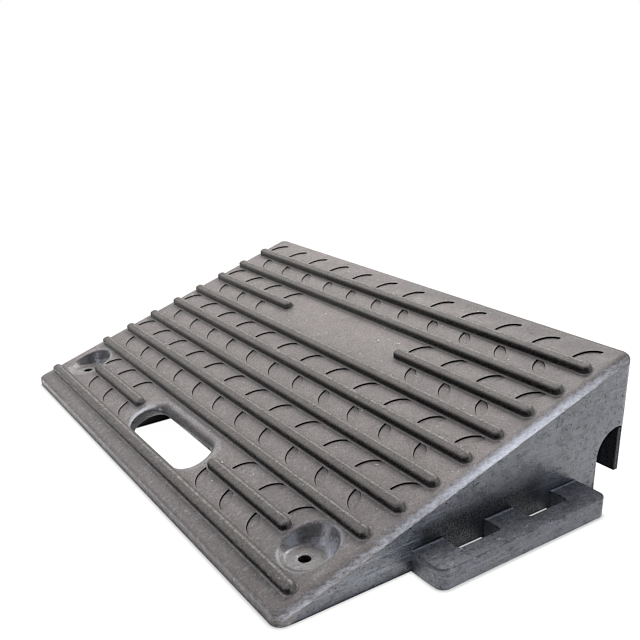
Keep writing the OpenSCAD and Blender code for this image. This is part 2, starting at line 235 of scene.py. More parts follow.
def moulded_plastic(where_used, dark, light, dust, scuff_and_highlight, dust_share, pits, blotches, grain_share,
                    grain_depth, rough, streaks=0.1, corner_shade=0.1, gloss=0.5):
    """Recycled polyethylene from a mould: cloudy charcoal, dull grain, dust, scuffed edges, painted shade in
    corners.
    """
    material = bpy.data.materials.new(f"moulded_polyethylene_{where_used}")
    material.use_nodes = True
    tree = material.node_tree
    shader = tree.nodes["Principled BSDF"]
    place = add(tree, "ShaderNodeTexCoord").outputs["Object"]
    where = add(tree, "ShaderNodeSeparateXYZ", [place])
    share = {}
    for label, (axis, start, end, low, high) in SHARES.items():
        share[label] = add(tree, RANGE, (where.outputs[axis], start * MM, end * MM, low, high))
    strength = {
        "clouds": (0, 1), "dust": (DUST_THIN * dust_share, DUST_THICK * dust_share),
        "grain": (1 - grain_share, 1 + grain_share), "drags": (0, streaks), "crumbs": (0, 1),
        "scratches": SCRATCHED, "pits": (0, pits), "blotches": (0, blotches)}
    noise, mark = {}, {}
    for label, (width, detail, roughness, distortion, begins, full) in NOISES.items():
        vector, scale = place, 1.0
        if isinstance(width, tuple):
            vector = add(tree, "ShaderNodeMapping", {
                "Vector": place, "Rotation": (-SLOPE, 0, 0), "Scale": [per_mm(w) for w in width]})
        else:
            scale = per_mm(width)
        noise[label] = add(tree, "ShaderNodeTexNoise", {
            "Vector": vector, "Scale": scale, "Detail": detail, "Roughness": roughness,
            "Distortion": distortion})
        if label in strength:
            mark[label] = add(tree, RANGE, (noise[label], begins, full, *strength[label]))

    # Dust lies where the surface faces up, less where it is rubbed off
    facing = add(tree, "ShaderNodeSeparateXYZ", [add(tree, "ShaderNodeNewGeometry").outputs["Normal"]])
    dusty = add(tree, RANGE, (facing.outputs["Z"], *FACES_UP), interpolation_type="SMOOTHSTEP")
    strip = add(tree, MATH, (share["kerb"], share["left"]), operation="MAXIMUM")
    kept = [mark["dust"], share["toe"], strip]
    for spot, reach, left in BARE_SPOTS:
        off = add(tree, "ShaderNodeVectorMath", (place, spot), operation="DISTANCE").outputs["Value"]
        kept.append(add(tree, RANGE, (off, BARE_CORE * reach, reach, left)))
    for part in kept:
        dusty = add(tree, MATH, (dusty, part), operation="MULTIPLY")

    # Drag marks; grit among the dust; scuffs and painted highlights where the wear attribute is above zero
    drags = add(tree, MATH, (mark["drags"], share["low"]), operation="MULTIPLY")
    crumbs = add(tree, MATH, (mark["crumbs"], dusty), operation="MULTIPLY")
    wear_and_light = add(tree, "ShaderNodeAttribute", attribute_name="wear").outputs["Fac"]
    scuffs_and_highlights = add(tree, MATH, (wear_and_light, SCUFF_AND_HIGHLIGHT_GAIN, mark["scratches"]), operation="MULTIPLY_ADD")
    scuffs_and_highlights = add(tree, RANGE, (scuffs_and_highlights, *SCUFF_AND_HIGHLIGHT_RANGE))

    # Painted shade in corners, from occlusion; dirt in pits and blotches; painted dark where wear is below
    # zero; the grain breaks up its border
    occlusion = add(tree, "ShaderNodeAmbientOcclusion", {"Distance": CORNER_SHADE_REACH * MM}, samples=6)
    corner_shading = add(tree, RANGE, (occlusion.outputs["AO"], *CORNER_SHADE_RANGE, 0, corner_shade))
    corner_shading = add(tree, MATH, (corner_shading, share["raised"]), operation="MULTIPLY")
    painted_dark = add(tree, RANGE, (wear_and_light, 0, -1))
    painted_dark = add(tree, MATH, (painted_dark, share["right"]), operation="MULTIPLY")
    painted_dark = add(tree, MATH, (noise["grain"], PAINTED_DARK_GAIN, painted_dark), operation="MULTIPLY_ADD")
    dirt_and_shade = add(tree, RANGE, (painted_dark, *PAINTED_DARK_RANGE))
    for part in (corner_shading, mark["pits"], mark["blotches"]):
        dirt_and_shade = add(tree, MATH, (dirt_and_shade, part), operation="MAXIMUM")

    # Layers from the regrind outwards; the grain has no colour, and makes what is under it darker and lighter
    body = linear(dark)
    for amount, colour in ((mark["clouds"], light), (dusty, dust), (mark["grain"], None), (drags, scuff_and_highlight),
                           (crumbs, GRIT), (scuffs_and_highlights, scuff_and_highlight), (dirt_and_shade, DIRT_AND_SHADE)):
        if colour:
            body = add(tree, MIX, {0: amount, 6: body, 7: linear(colour)}, data_type="RGBA").outputs[2]
        else:
            body = add(tree, "ShaderNodeVectorMath", {0: body, "Scale": amount}, operation="SCALE").outputs[0]
    tree.links.new(body, shader.inputs["Base Color"])

    # Dirt and painted shade are dull, and the regrind's clouds are duller and shinier too
    dull = add(tree, MATH, (mark["clouds"], CLOUD_ROUGH, rough), operation="MULTIPLY_ADD")
    dull = add(tree, MATH, (dirt_and_shade, DIRT_AND_SHADE_ROUGH, dull), operation="MULTIPLY_ADD")
    tree.links.new(dull.outputs[0], shader.inputs["Roughness"])
    matt = add(tree, RANGE, (dirt_and_shade, 0, 1, gloss, DIRT_AND_SHADE_GLOSS * gloss))
    shader.inputs["Specular IOR Level"].default_value = gloss
    tree.links.new(matt.outputs[0], shader.inputs["Specular IOR Level"])
    height = add(tree, MATH, (noise["ripples"], RIPPLE_GAIN, noise["grain"]), operation="MULTIPLY_ADD")
    bump = add(tree, "ShaderNodeBump", {"Height": height, "Strength": BUMP, "Distance": grain_depth * MM})
    tree.links.new(bump.outputs["Normal"], shader.inputs["Normal"])
    return material


# %% Finishes of the ramp
# Warm grey: the tread seen through a film of dust, with a soft sheen against the light
tread_plastic = moulded_plastic(
    "tread", "#423e3c", "#55504e", "#857d7b", "#b4b6bd", dust_share=0.85, streaks=0.16, pits=0.35,
    blotches=0.0, grain_share=0.4, grain_depth=0.26, rough=0.5)
# Darker and duller: feet keep the bars freer of dust, and only the rubbed tops are pale
bar_plastic = moulded_plastic(
    "bars", "#42403e", "#4f4c4a", "#69625e", "#b4b2ae", dust_share=0.5, pits=0.5, blotches=0.15,
    corner_shade=0.2, grain_share=0.55, grain_depth=0.3, rough=0.46, gloss=0.3)
# Smoother than the tread, so that the cups and the slot's lip catch a glint
cup_plastic = moulded_plastic(
    "cups", "#3b3a3c", "#4a4849", "#807a79", "#b9bbc4", dust_share=0.85, pits=0.7, blotches=0.1,
    grain_share=0.5, grain_depth=0.2, rough=0.26)
# Cool charcoal, clean and glossy but mottled: the walls are as the mould left them
body_plastic = moulded_plastic(
    "walls", "#202227", "#3a3d44", "#56544f", "#a4a9b4", dust_share=0.7, streaks=0.16, pits=1.0, blotches=0.5,
    corner_shade=0.5, grain_share=0.6, grain_depth=0.28, rough=0.22)
# As the walls, but duller: the tab's top is dusty
tab_plastic = moulded_plastic(
    "tab", "#282a2e", "#3a3c42", "#66676b", "#a4a9b4", dust_share=0.7, streaks=0.14, pits=0.7, blotches=0.45,
    corner_shade=0.3, grain_share=0.6, grain_depth=0.24, rough=0.4, gloss=0.35)
# Nearly black and dull: the ribs are never rubbed
hidden_plastic = moulded_plastic(
    "ribs", "#1e1e21", "#28282b", "#35322f", "#66666b", dust_share=0.3, pits=0.3, blotches=0.2,
    corner_shade=0.6, grain_share=0.32, grain_depth=0.2, rough=0.5, gloss=0.35)
print("finishes:", [m.name for m in bpy.data.materials if m.name.startswith("moulded")])

# %% [markdown]
# ## Helpers for meshes
# A moulded surface is a row of closed outlines that follow each other down a profile, so most pieces are
# lofts: rings of points joined by quads. The flats between the rings are filled with a constrained
# triangulation. A float attribute named wear travels with the points, so that the finish knows which edges
# are scuffed, and where highlights and shade are painted.

# %% Helpers for meshes
# Points closer than this, in metres, are one
WELD = 2e-6


def new_shell():
    """An empty mesh whose points carry the wear attribute."""
    shell = bmesh.new()
    shell.verts.layers.float.new("wear")
    return shell


def loft(shell, rings, wear):
    """Joins closed rings of points in turn with quads; wear has one value a ring, or one a point."""
    layer = shell.verts.layers.float["wear"]
    made = []
    for ring, wear_and_light in zip(rings, wear):
        row = [shell.verts.new(p) for p in ring]
        for vert, w in zip(row, np.broadcast_to(wear_and_light, len(row))):
            vert[layer] = float(w)
        made.append(row)
    for a, b in zip(made, made[1:]):
        for i in range(len(a)):
            j = (i + 1) % len(a)
            shell.faces.new((a[i], a[j], b[j], b[i]))
    return made


def encloses(ring, point):
    """Whether a ring of (x, v) goes round a point: a line from there crosses it an odd number of times."""
    ahead = np.roll(ring, -1, axis=0)
    crossed = (ring[:, 1] > point[1]) != (ahead[:, 1] > point[1])
    a, b = ring[crossed], ahead[crossed]
    at = a[:, 0] + (point[1] - a[:, 1]) / (b[:, 1] - a[:, 1]) * (b[:, 0] - a[:, 0])
    return np.count_nonzero(at > point[0]) % 2 == 1


def fill_flat(shell, outline, holes, h):
    """Fills the flat of the deck at height h between a round outline and holes, all given as (x, v)."""
    owner, edges = [], []
    for index, ring in enumerate((outline, *holes)):
        first = len(owner)
        owner += [index] * len(ring)
        edges += [(first + i, first + (i + 1) % len(ring)) for i in range(len(ring))]
    points = [Vector(p) for ring in (outline, *holes) for p in ring]
    flat, _, faces, source, _, _ = delaunay_2d_cdt(points, edges, [], 0, 1e-9)
    made = [shell.verts.new(on_deck(p.x, p.y, h)) for p in flat]
    for face in faces:
        rings = {owner[source[i][0]] for i in face}
        first = min(rings)
        middle = np.mean([flat[i] for i in face], axis=0)
        if first == 0 or len(rings) > 1 or not encloses(holes[first - 1], middle):
            shell.faces.new([made[i] for i in face])


def from_shell(shell, name):
    """An object in the scene whose mesh is the shell."""
    mesh = bpy.data.meshes.new(name)
    shell.to_mesh(mesh)
    shell.free()
    return put(name, mesh)


def evaluated(thing):
    """A plain mesh of what an object's modifiers give."""
    return bpy.data.meshes.new_from_object(thing.evaluated_get(bpy.context.evaluated_depsgraph_get()))


def finish_piece(shell, name, material, nodes, sharp=40):
    """Welds a closed shell, turns its faces out, evens its normals and puts it in place of its CAD nodes."""
    bmesh.ops.remove_doubles(shell, verts=shell.verts, dist=WELD)
    bmesh.ops.recalc_face_normals(shell, faces=shell.faces)
    open_edges = sum(not e.is_manifold for e in shell.edges)
    piece = from_shell(shell, name)
    piece.data.materials.append(material)
    piece.data.shade_smooth()
    piece.data.set_sharp_from_angle(angle=math.radians(sharp))
    piece.modifiers.new("even_normals", "WEIGHTED_NORMAL").keep_sharp = True
    piece.data = evaluated(piece)
    piece.data.name = name
    piece.modifiers.clear()
    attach(piece, "root")
    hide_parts(*nodes)
    print(f"{name}: {len(piece.data.polygons)} faces, {open_edges} open edges")
    return piece


def rows_tree(name, pattern, output, extra=()):
    """A Geometry Nodes tree that sets copies of a pattern on places; its inputs, copies and moved points."""
    tree = bpy.data.node_groups.new(name, "GeometryNodeTree")
    for label, kind in (("Places", "Geometry"), (pattern, "Object"), ("Finish", "Material"), *extra):
        tree.interface.new_socket(label, in_out="INPUT", socket_type=f"NodeSocket{kind}")
    tree.interface.new_socket(output, in_out="OUTPUT", socket_type="NodeSocketGeometry")
    given = add(tree, "NodeGroupInput")
    single = add(tree, "GeometryNodeObjectInfo", {"Object": given.outputs[pattern]})
    copies = add(tree, "GeometryNodeInstanceOnPoints", {
        "Points": given.outputs["Places"], "Instance": single.outputs["Geometry"]})
    joined = add(tree, "GeometryNodeRealizeInstances", {"Geometry": copies})
    moved = add(tree, "GeometryNodeSetPosition", {"Geometry": joined})
    dressed = add(tree, "GeometryNodeSetMaterial", {"Geometry": moved, "Material": given.outputs["Finish"]})
    add(tree, "NodeGroupOutput", {output: dressed})
    return tree, given, copies, moved


def grow(points, attribute, values, tree, inputs):
    """A plain mesh from a Geometry Nodes tree that sets copies on points, which carry one attribute."""
    seeds = bpy.data.meshes.new("seeds")
    seeds.from_pydata(points, [], [])
    seeds.attributes.new(attribute, "FLOAT", "POINT").data.foreach_set("value", values)
    carrier = put("seeds", seeds)
    modifier = carrier.modifiers.new(tree.name, "NODES")
    modifier.node_group = tree
    sockets = {item.name: item.identifier for item in tree.interface.items_tree if item.in_out == "INPUT"}
    for label, value in inputs.items():
        modifier[sockets[label]] = value
    grown = evaluated(carrier)
    bpy.data.objects.remove(carrier)
    for pattern in [value for value in inputs.values() if isinstance(value, bpy.types.Object)]:
        bpy.data.objects.remove(pattern)
    return grown


def end_circles(count):
    """The ways that the points of two round ends face, as (x, y), with so many points to an end."""
    angle = np.radians(np.concatenate([np.linspace(-90, 90, count), np.linspace(90, 270, count)]))
    return np.stack([np.cos(angle), np.sin(angle)], -1)


def level_ring(ring, h):
    """A ring of (x, y) in mm, at the height h, in metres."""
    return np.column_stack([ring, np.full(len(ring), h)]) * MM


def bezier(a, b, c, steps):
    """Points of a quadratic curve from a to c that leaves towards b."""
    a, b, c = (np.asarray(p, float) for p in (a, b, c))
    return [a * (1 - s) ** 2 + b * 2 * s * (1 - s) + c * s ** 2 for s in np.linspace(0, 1, steps + 1)]


# %% [markdown]
# ## Leaf pockets
# The tread's grip comes from shallow pockets shaped like a leaf: two arcs that meet in points. They lean one
# way on one strip and the other way on the next. One pocket is modelled with a softened rim, a steep wall
# and a rounded floor, and Geometry Nodes set a copy on each place of the pattern and turn it. Cutting them
# with booleans would be slower and leave ragged faces.

# %% One leaf pocket
# Sizes in mm; the pattern lies a little left and uphill of the middle of its strip
LEAF_L, LEAF_W, LEAF_DEPTH = 23.0, 9.4, 1.2
LEAF_PITCH, LEAF_SLANT = 40.4, math.radians(45)
LEAF_LEFT, LEAF_UP, LEAF_MARGIN = 2.4, 1.1, 12.0
# The most leaves to a side of the middle one
LEAVES_ASIDE = 7
ARC_R = (LEAF_L ** 2 + LEAF_W ** 2) / (4 * LEAF_W)
ARC_STEPS = 10


def leaf_ring(grow_by):
    """Outline of the leaf, moved outwards by some mm, as points (x, y) in mm."""
    radius, off = ARC_R + grow_by, ARC_R - LEAF_W / 2
    half = math.acos(off / radius)
    angles = np.linspace(half, -half, ARC_STEPS + 1)[:-1]
    upper = np.stack([radius * np.sin(angles), radius * np.cos(angles) - off], -1)
    return np.concatenate([upper, -upper])


LEAF_EDGE = 0.45
# Rim, wall and floor: how far outside the leaf's edge, the height over the deck, and the wear; the wall is
# painted dark as shade
leaf_profile = [(LEAF_EDGE, 0.0, 0), (0.2, 0.0, 0), (0.05, -0.05, 0), (-0.02, -0.2, -0.7), (-0.1, -0.8, -1),
                (-0.22, -1.08, -1), (-0.6, -LEAF_DEPTH, -0.2), (-1.0, -LEAF_DEPTH, 0)]
leaf_shell = new_shell()
leaf_rows = loft(leaf_shell, [level_ring(leaf_ring(out), h) for out, h, _ in leaf_profile],
                 [wear_and_light for _, _, wear_and_light in leaf_profile])
leaf_shell.faces.new(leaf_rows[-1])
leaf_pattern = from_shell(leaf_shell, "leaf_pocket")
print("leaf pocket:", len(leaf_pattern.data.polygons), "faces")

# %% Places of the leaves
# In mm: a cup's middle and the boss under it, and half the widths that the slot and the bare panel keep free
CUP_X, CUP_FROM_TOE, BOSS_R = 210.5, row_v(2) * COS - 1.4, ROW_PITCH * COS - 2.7
LIP_HALF, BARE_HALF = 67.0, 84.0
# The leaf beside the left cup is moved by as much, to keep clear of its rim
ASIDE_X, ASIDE_V = 4.0, 1.0
leaf_reach = LEAF_L * math.cos(LEAF_SLANT) / 2


def leaf_fits(panel, x, v):
    """True where a leaf stays clear of the sides, the slot, the cups and the bare middle."""
    free = LIP_HALF + leaf_reach if panel in (1, 2) else BARE_HALF if panel in (7, 8) else 0
    return (free <= abs(x) <= SIDE_X - LEAF_MARGIN - leaf_reach
            and math.hypot(abs(x) - CUP_X, v - CUP_FROM_TOE / COS) > BOSS_R + LEAF_W / 2)


leaf_places = []
for panel in range(1, 11):
    v = row_v(panel) + ROW_PITCH / 2 + LEAF_UP
    start = (0 if panel % 2 else LEAF_PITCH / 2) - LEAF_LEFT
    for step in range(-LEAVES_ASIDE, LEAVES_ASIDE + 1):
        x = start + step * LEAF_PITCH
        if leaf_fits(panel, x, v):
            beside = panel == 2 and x < BOSS_R + LEAF_W / 2 - CUP_X
            leaf_places.append((x + ASIDE_X * beside, v + ASIDE_V * beside, -1.0 if panel % 2 else 1.0))
print("leaves:", len(leaf_places))

# %% Geometry Nodes tree that sets the leaves
leaf_tree, given, copies, _ = rows_tree("leaf_rows", "Pocket", "Leaves", [("Slant", "Float")])
lean = add(leaf_tree, "GeometryNodeInputNamedAttribute", ["lean"])
angle = add(leaf_tree, MATH, (lean, given.outputs["Slant"]), operation="MULTIPLY")
turned = add(leaf_tree, "ShaderNodeCombineXYZ", {"Z": angle})
leaf_tree.links.new(turned.outputs[0], copies.inputs["Rotation"])
leaf_points = [(x * MM, v * MM, 0) for x, v, _ in leaf_places]
leaves = grow(leaf_points, "lean", [lean_way for _, _, lean_way in leaf_places], leaf_tree,
              {"Pocket": leaf_pattern, "Slant": LEAF_SLANT, "Finish": tread_plastic})
leaves.transform(deck_matrix)
print("leaf rows:", len(leaves.polygons), "faces")

# %% [markdown]
# ## Fixing cups
# Each lower corner has a dish with a level floor, so that a bolt's head sits square although the deck
# slopes. The dish is a cone about an upright axis: where the deck is high its wall is tall, where it is low
# the wall is short. So the profile is worked out for each direction round the axis, with a soft rim and a
# rounded floor.

# %% Outline and rings of a cup
CUP_FLOOR_Z, CUP_FLOOR_R = 15.0, 15.0
HOLE_R, HOLE_SHIFT, HOLE_EDGE = 4.0, 2.5, 0.6
FLOOR_SOFT, FLANGE, TURN_STEPS = 1.4, 0.4, 96
turn = np.linspace(0, 2 * math.pi, TURN_STEPS, endpoint=False)
TURN_X, TURN_Y = np.cos(turn), np.sin(turn)
uphill, downhill = np.maximum(TURN_Y, 0), np.maximum(-TURN_Y, 0)
# The wall is steep uphill and runs out flat towards the toe; the rim is softest uphill
cup_flare = 0.66 - 0.19 * uphill + 1.7 * downhill ** 1.5
rim_soft = 1.3 + 0.9 * uphill + 0.5 * downhill
# Painted light: the wall is lighter at the back right, where light falls on it
painted_lit_side = 0.4 * np.maximum(np.cos(turn - math.radians(45)), 0) ** 2
cup_deck_z = TOE_H + CUP_FROM_TOE * TAN
rim_r = (CUP_FLOOR_R + cup_flare * (cup_deck_z - CUP_FLOOR_Z)) / (1 - cup_flare * TURN_Y * TAN)
flange_r = rim_r + rim_soft + FLANGE


def cup_height(r):
    """Height of the deck at a distance r from the cup's axis, all round."""
    return cup_deck_z + r * TURN_Y * TAN


def cup_rings(side):
    """Closed rings of a cup and its boss, from the flange on the deck round and back, with their wear, which
    holds painted highlights and shade.
    """
    def ring(r, z, shift=0.0):
        return np.stack([side * CUP_X + r * TURN_X, TOE_Y + CUP_FROM_TOE - shift + r * TURN_Y,
                         np.broadcast_to(z, turn.shape)], -1) * MM

    wall = np.stack([cup_flare, np.ones(TURN_STEPS)]) / np.hypot(1, cup_flare)
    rings, wear = [ring(flange_r, cup_height(flange_r))], [0.0]
    outside = np.stack([rim_r + rim_soft, cup_height(rim_r + rim_soft)])
    corner = np.stack([rim_r, cup_height(rim_r)])
    # The rim is rubbed pale uphill and carries a painted highlight there; the painted light of the back right
    # grows down it
    for s, (r, z) in zip(np.linspace(0, 1, 9), bezier(outside, corner, corner - rim_soft * wall, 8)):
        rings.append(ring(r, z))
        wear.append(math.sin(math.pi * s) * 0.5 * uphill + s * painted_lit_side)
    foot = np.array([[CUP_FLOOR_R], [CUP_FLOOR_Z]]) * np.ones(TURN_STEPS)
    inwards = np.array([[FLOOR_SOFT], [0]])
    # A painted highlight lines the floor's edge uphill and at the back right
    for r, z in bezier(foot + FLOOR_SOFT * wall, foot, foot - inwards, 6):
        rings.append(ring(r, z))
        wear.append(0.6 * painted_lit_side + 0.8 * uphill)
    for share in (0.35, 0.7, 1.0):
        r = CUP_FLOOR_R - FLOOR_SOFT + share * (HOLE_R + HOLE_EDGE - CUP_FLOOR_R + FLOOR_SOFT)
        rings.append(ring(r, CUP_FLOOR_Z, HOLE_SHIFT * share))
        wear.append(0.0)
    rings += [ring(HOLE_R, CUP_FLOOR_Z - HOLE_EDGE, HOLE_SHIFT), ring(HOLE_R, 0, HOLE_SHIFT), ring(BOSS_R, 0),
              ring(BOSS_R, cup_height(BOSS_R) - SLAB), ring(flange_r, cup_height(flange_r) - SLAB),
              ring(flange_r, cup_height(flange_r))]
    # The hole's edge and bore are painted dark as shade
    wear += [-0.6, -1, 0, 0, 0, 0]
    return rings, wear


def cup_hole(side, h):
    """Outline (x, v) that the cup leaves open in the deck at the depth h."""
    return np.stack([side * CUP_X + flange_r * TURN_X, up_slope(CUP_FROM_TOE + flange_r * TURN_Y, h)], -1)


for side, word in ((-1, "left"), (1, "right")):
    cup_shell = new_shell()
    loft(cup_shell, *cup_rings(side))
    finish_piece(cup_shell, f"{word}_cup", cup_plastic, [f"{word}_fixing_cup"], sharp=50)

# %% [markdown]
# ## Hand slot
# The slot is where the ramp is carried. Its uphill side is rolled over in a broad round for the fingers, the
# ends have a smaller round, and the side near the toe is almost square. The outline is a loft in slope axes
# whose radius changes with the direction in which the outline faces.

# %% Rings of the slot's lip
SLOT_HALF, SLOT_V0, SLOT_V1 = 59.0, 25.6, 58.0
SKIRT_T, LIP_FLANGE, SKIRT_SOFT, END_POINTS = 4.0, 0.4, 0.7, 29
slot_r = (SLOT_V1 - SLOT_V0) / 2
FACE_X, FACE_V = end_circles(END_POINTS).T
end_x = np.repeat([SLOT_HALF - slot_r, slot_r - SLOT_HALF], END_POINTS)
# The round's radius and depth and the skirt's foot, from the toe side to the uphill side
uphill_share = (1 + FACE_V) / 2
lip_r = 0.8 + 8.7 * np.sin(uphill_share * math.pi / 2)
lip_drop = 0.8 + 0.7 * uphill_share + 5.5 * uphill_share ** 8
skirt_h = -9.0 + 0.8 * uphill_share
# Hands rub the ends pale, and the ends carry a painted highlight, the left one most; below that the ends and
# the uphill round are painted dark as shade
end_share = np.abs(FACE_X)
grip_wear_and_highlight = np.where(FACE_X > 0, 0.3, 0.85) * end_share
LIP_SHADE_FROM, LIP_SHADE = 1.4, 0.6


def slot_ring(out):
    """Outline (x, v) of the slot, moved outwards by some mm, which may differ from point to point."""
    return np.stack([end_x + (slot_r + out) * FACE_X, (SLOT_V0 + SLOT_V1) / 2 + (slot_r + out) * FACE_V], -1)


lip_rings, lip_wear = [(lip_r + LIP_FLANGE, 0)], [0.0]
for turn_down in np.radians(np.linspace(0, 90, 13)):
    lip_rings.append((lip_r * (1 - math.sin(turn_down)), -lip_drop * (1 - math.cos(turn_down))))
    lip_wear.append((0.1 + grip_wear_and_highlight) * math.sin(2 * turn_down) - LIP_SHADE * end_share * (turn_down > LIP_SHADE_FROM)
                    - LIP_SHADE * uphill_share ** 4 * math.sin(turn_down))
lip_rings += [(0.0, skirt_h + SKIRT_SOFT), (0.25 * SKIRT_SOFT, skirt_h + 0.25 * SKIRT_SOFT),
              (SKIRT_SOFT, skirt_h), (SKIRT_T - SKIRT_SOFT, skirt_h), (SKIRT_T, skirt_h + SKIRT_SOFT),
              (SKIRT_T, -SKIN), (lip_r + LIP_FLANGE, -SKIN), (lip_r + LIP_FLANGE, 0)]
# The skirt's foot is painted pale in the middle and dark at the ends, as light and shade
lip_wear += [0.5 - 1.1 * end_share, 0.9 - 1.2 * end_share, 0.3, 0, 0, 0, 0, 0]
lip_shell = new_shell()
loft(lip_shell, [on_deck(*slot_ring(out).T, h) for out, h in lip_rings], lip_wear)
finish_piece(lip_shell, "hand_slot_lip", cup_plastic, ["handle_collar"], sharp=50)

# %% [markdown]
# ## Tread deck
# The deck is a closed slab: the flat tread with the leaf pockets let into it, a rolled edge all round, and a
# flat underside. The rolled edge is a loft between an outline on the tread and the ramp's plan outline. Each
# step of it is a conic that leaves the tread along the slope and arrives upright at the wall, so light runs
# round it smoothly.

# %% Rolled edge of the deck
SIDE_ROUND, SIDE_DROP, TOE_ROUND, KERB_ROUND, CORNER_R, INNER_CORNER_R = 7.0, 6.5, 4.0, 7.0, 8.0, 2.0
CORNER_STEPS, SIDE_STEPS, EDGE_STEPS, EDGE_FLANGE, GROOVE = 10, 16, 12, 0.5, 0.15
# Half the angle between the tread and the upright face, at the toe and at the kerb
toe_half, kerb_half = (math.pi / 2 + SLOPE) / 2, (math.pi / 2 - SLOPE) / 2
toe_reach, kerb_reach = TOE_ROUND / math.tan(toe_half), KERB_ROUND / math.tan(kerb_half)


def plan_ring(half_w, y0, y1, r):
    """Rectangle with rounded corners on the ground plan, y from the toe, with the way each point faces."""
    points, angles = [], []
    for quarter, (sx, sy) in enumerate(((1, 1), (-1, 1), (-1, -1), (1, -1))):
        arc = np.radians(np.linspace(0, 90, CORNER_STEPS + 1) + 90 * quarter)
        centre = np.array([sx * (half_w - r), y1 - r if sy > 0 else y0 + r])
        corner = centre + r * np.stack([np.cos(arc), np.sin(arc)], -1)
        run = (2 * (half_w - r), y1 - y0 - 2 * r)[quarter % 2]
        ahead = np.array([-np.sin(arc[-1]), np.cos(arc[-1])])
        steps = np.linspace(0, run, SIDE_STEPS + 1)[1:-1]
        points += [corner, corner[-1] + steps[:, None] * ahead]
        angles += [arc, np.full(len(steps), arc[-1])]
    return np.concatenate(points), np.concatenate(angles)


outer, faces_to = plan_ring(SIDE_X, 0, LENGTH, CORNER_R)
inner, _ = plan_ring(SIDE_X - SIDE_ROUND, toe_reach * COS, LENGTH - kerb_reach * COS, INNER_CORNER_R)
flange, _ = plan_ring(SIDE_X - SIDE_ROUND - EDGE_FLANGE, toe_reach * COS + EDGE_FLANGE,
                      LENGTH - kerb_reach * COS - EDGE_FLANGE, INNER_CORNER_R - EDGE_FLANGE)
side_part = np.cos(faces_to) ** 2
at_kerb = np.sin(faces_to) > 0
drop = side_part * SIDE_DROP + (1 - side_part) * np.where(at_kerb, kerb_reach, toe_reach)
weight = side_part * math.sin(math.pi / 4) + (1 - side_part) * np.where(
    at_kerb, math.sin(kerb_half), math.sin(toe_half))


def standing(plan, below=0.0):
    """Points in metres, below the deck plane, over places on the ground plan with y from the toe."""
    return np.column_stack([plan[:, 0], plan[:, 1] + TOE_Y, TOE_H + plan[:, 1] * TAN - below]) * MM


# The long edges are dragged over kerbs: weakly scuffed near the toe, strongly from the middle upwards
DRAG_Y, DRAG_WEAR = [0, 60, 120, 180, 240, 290, 304], [0.32, 0.28, 0.5, 0.78, 0.64, 0.28, 0.18]
# On the way round the edge the scuffs start on the tread and last down to the wall
ROUND_AT, ROUND_WEAR = [0, 0.3, 0.6, 0.85, 1], [0, 0.45, 1, 0.95, 0.8]
dragged = 0.2 + side_part * np.interp(outer[:, 1], DRAG_Y, DRAG_WEAR)
start, corner, end = standing(inner), standing(outer), standing(outer, drop)
edge_rings, edge_wear = [standing(flange)], [0.0]
for s in np.linspace(0, 1, EDGE_STEPS + 1):
    parts = (1 - s) ** 2, 2 * s * (1 - s) * weight[:, None], s ** 2
    edge_rings.append((parts[0] * start + parts[1] * corner + parts[2] * end) / sum(parts))
    edge_wear.append(np.interp(s, ROUND_AT, ROUND_WEAR) * dragged)
seam, _ = plan_ring(SIDE_X - GROOVE, 0, LENGTH, CORNER_R)
edge_rings += [standing(outer, SLAB - GROOVE), standing(seam, SLAB)]
edge_wear += [0.6 * dragged, 0.4 * dragged]
print("rolled edge:", len(edge_rings), "rings of", len(outer), "points")

# %% The deck's flats, pockets and openings
deck_shell = new_shell()
loft(deck_shell, edge_rings, edge_wear)
leaf_outline = leaf_ring(LEAF_EDGE)
leaf_holes = []
for x, v, lean_way in leaf_places:
    c, s = math.cos(LEAF_SLANT), lean_way * math.sin(LEAF_SLANT)
    leaf_holes.append(leaf_outline @ np.array([[c, s], [-s, c]]) + (x, v))
slot_hole = slot_ring(lip_r + LIP_FLANGE)
fill_flat(deck_shell, np.stack([flange[:, 0], flange[:, 1] / COS], -1),
          [cup_hole(-1, 0), cup_hole(1, 0), slot_hole, *leaf_holes], 0)
fill_flat(deck_shell, np.stack([seam[:, 0], up_slope(seam[:, 1], -SKIN)], -1),
          [cup_hole(-1, -SKIN), cup_hole(1, -SKIN), slot_hole], -SKIN)
for top_hole, low_hole in [(cup_hole(k, 0), cup_hole(k, -SKIN)) for k in (-1, 1)] + [(slot_hole, slot_hole)]:
    loft(deck_shell, [on_deck(*top_hole.T, 0), on_deck(*low_hole.T, -SKIN)], [0, 0])
deck_shell.from_mesh(leaves)
panels = ["tread_panel_toe"] + [f"tread_panel_{k}" for k in range(1, 11)]
finish_piece(deck_shell, "tread_deck", tread_plastic, ["deck_plate", *panels], sharp=50)

# %% [markdown]
# ## Tread bars
# Ten rows of bars cross the tread. Every bar has the same section and the same round ends and only the
# length differs, so one short bar is modelled, and a Geometry Nodes tree sets a copy on each row and moves
# its two ends apart. The ends stay round at any length, which plain scaling would spoil.

# %% One short bar
BAR_W, BAR_H, BAR_ROUND, BAR_FOOT = 9.0, 5.2, 2.6, 1.8
END_STEPS = 16
end_ways = end_circles(END_STEPS + 1)
# Foot, wall, round and top: how far outside the bar's edge, and the height over the deck
brow = BAR_H - 0.1
bar_profile = [(BAR_FOOT, -0.6), *bezier((BAR_FOOT, -0.03), (0.1, 0.0), (0.0, 0.9), 4),
               *bezier((-0.1, BAR_H - BAR_ROUND), (-0.35, brow), (-BAR_ROUND, brow), 8), (-3.6, BAR_H)]
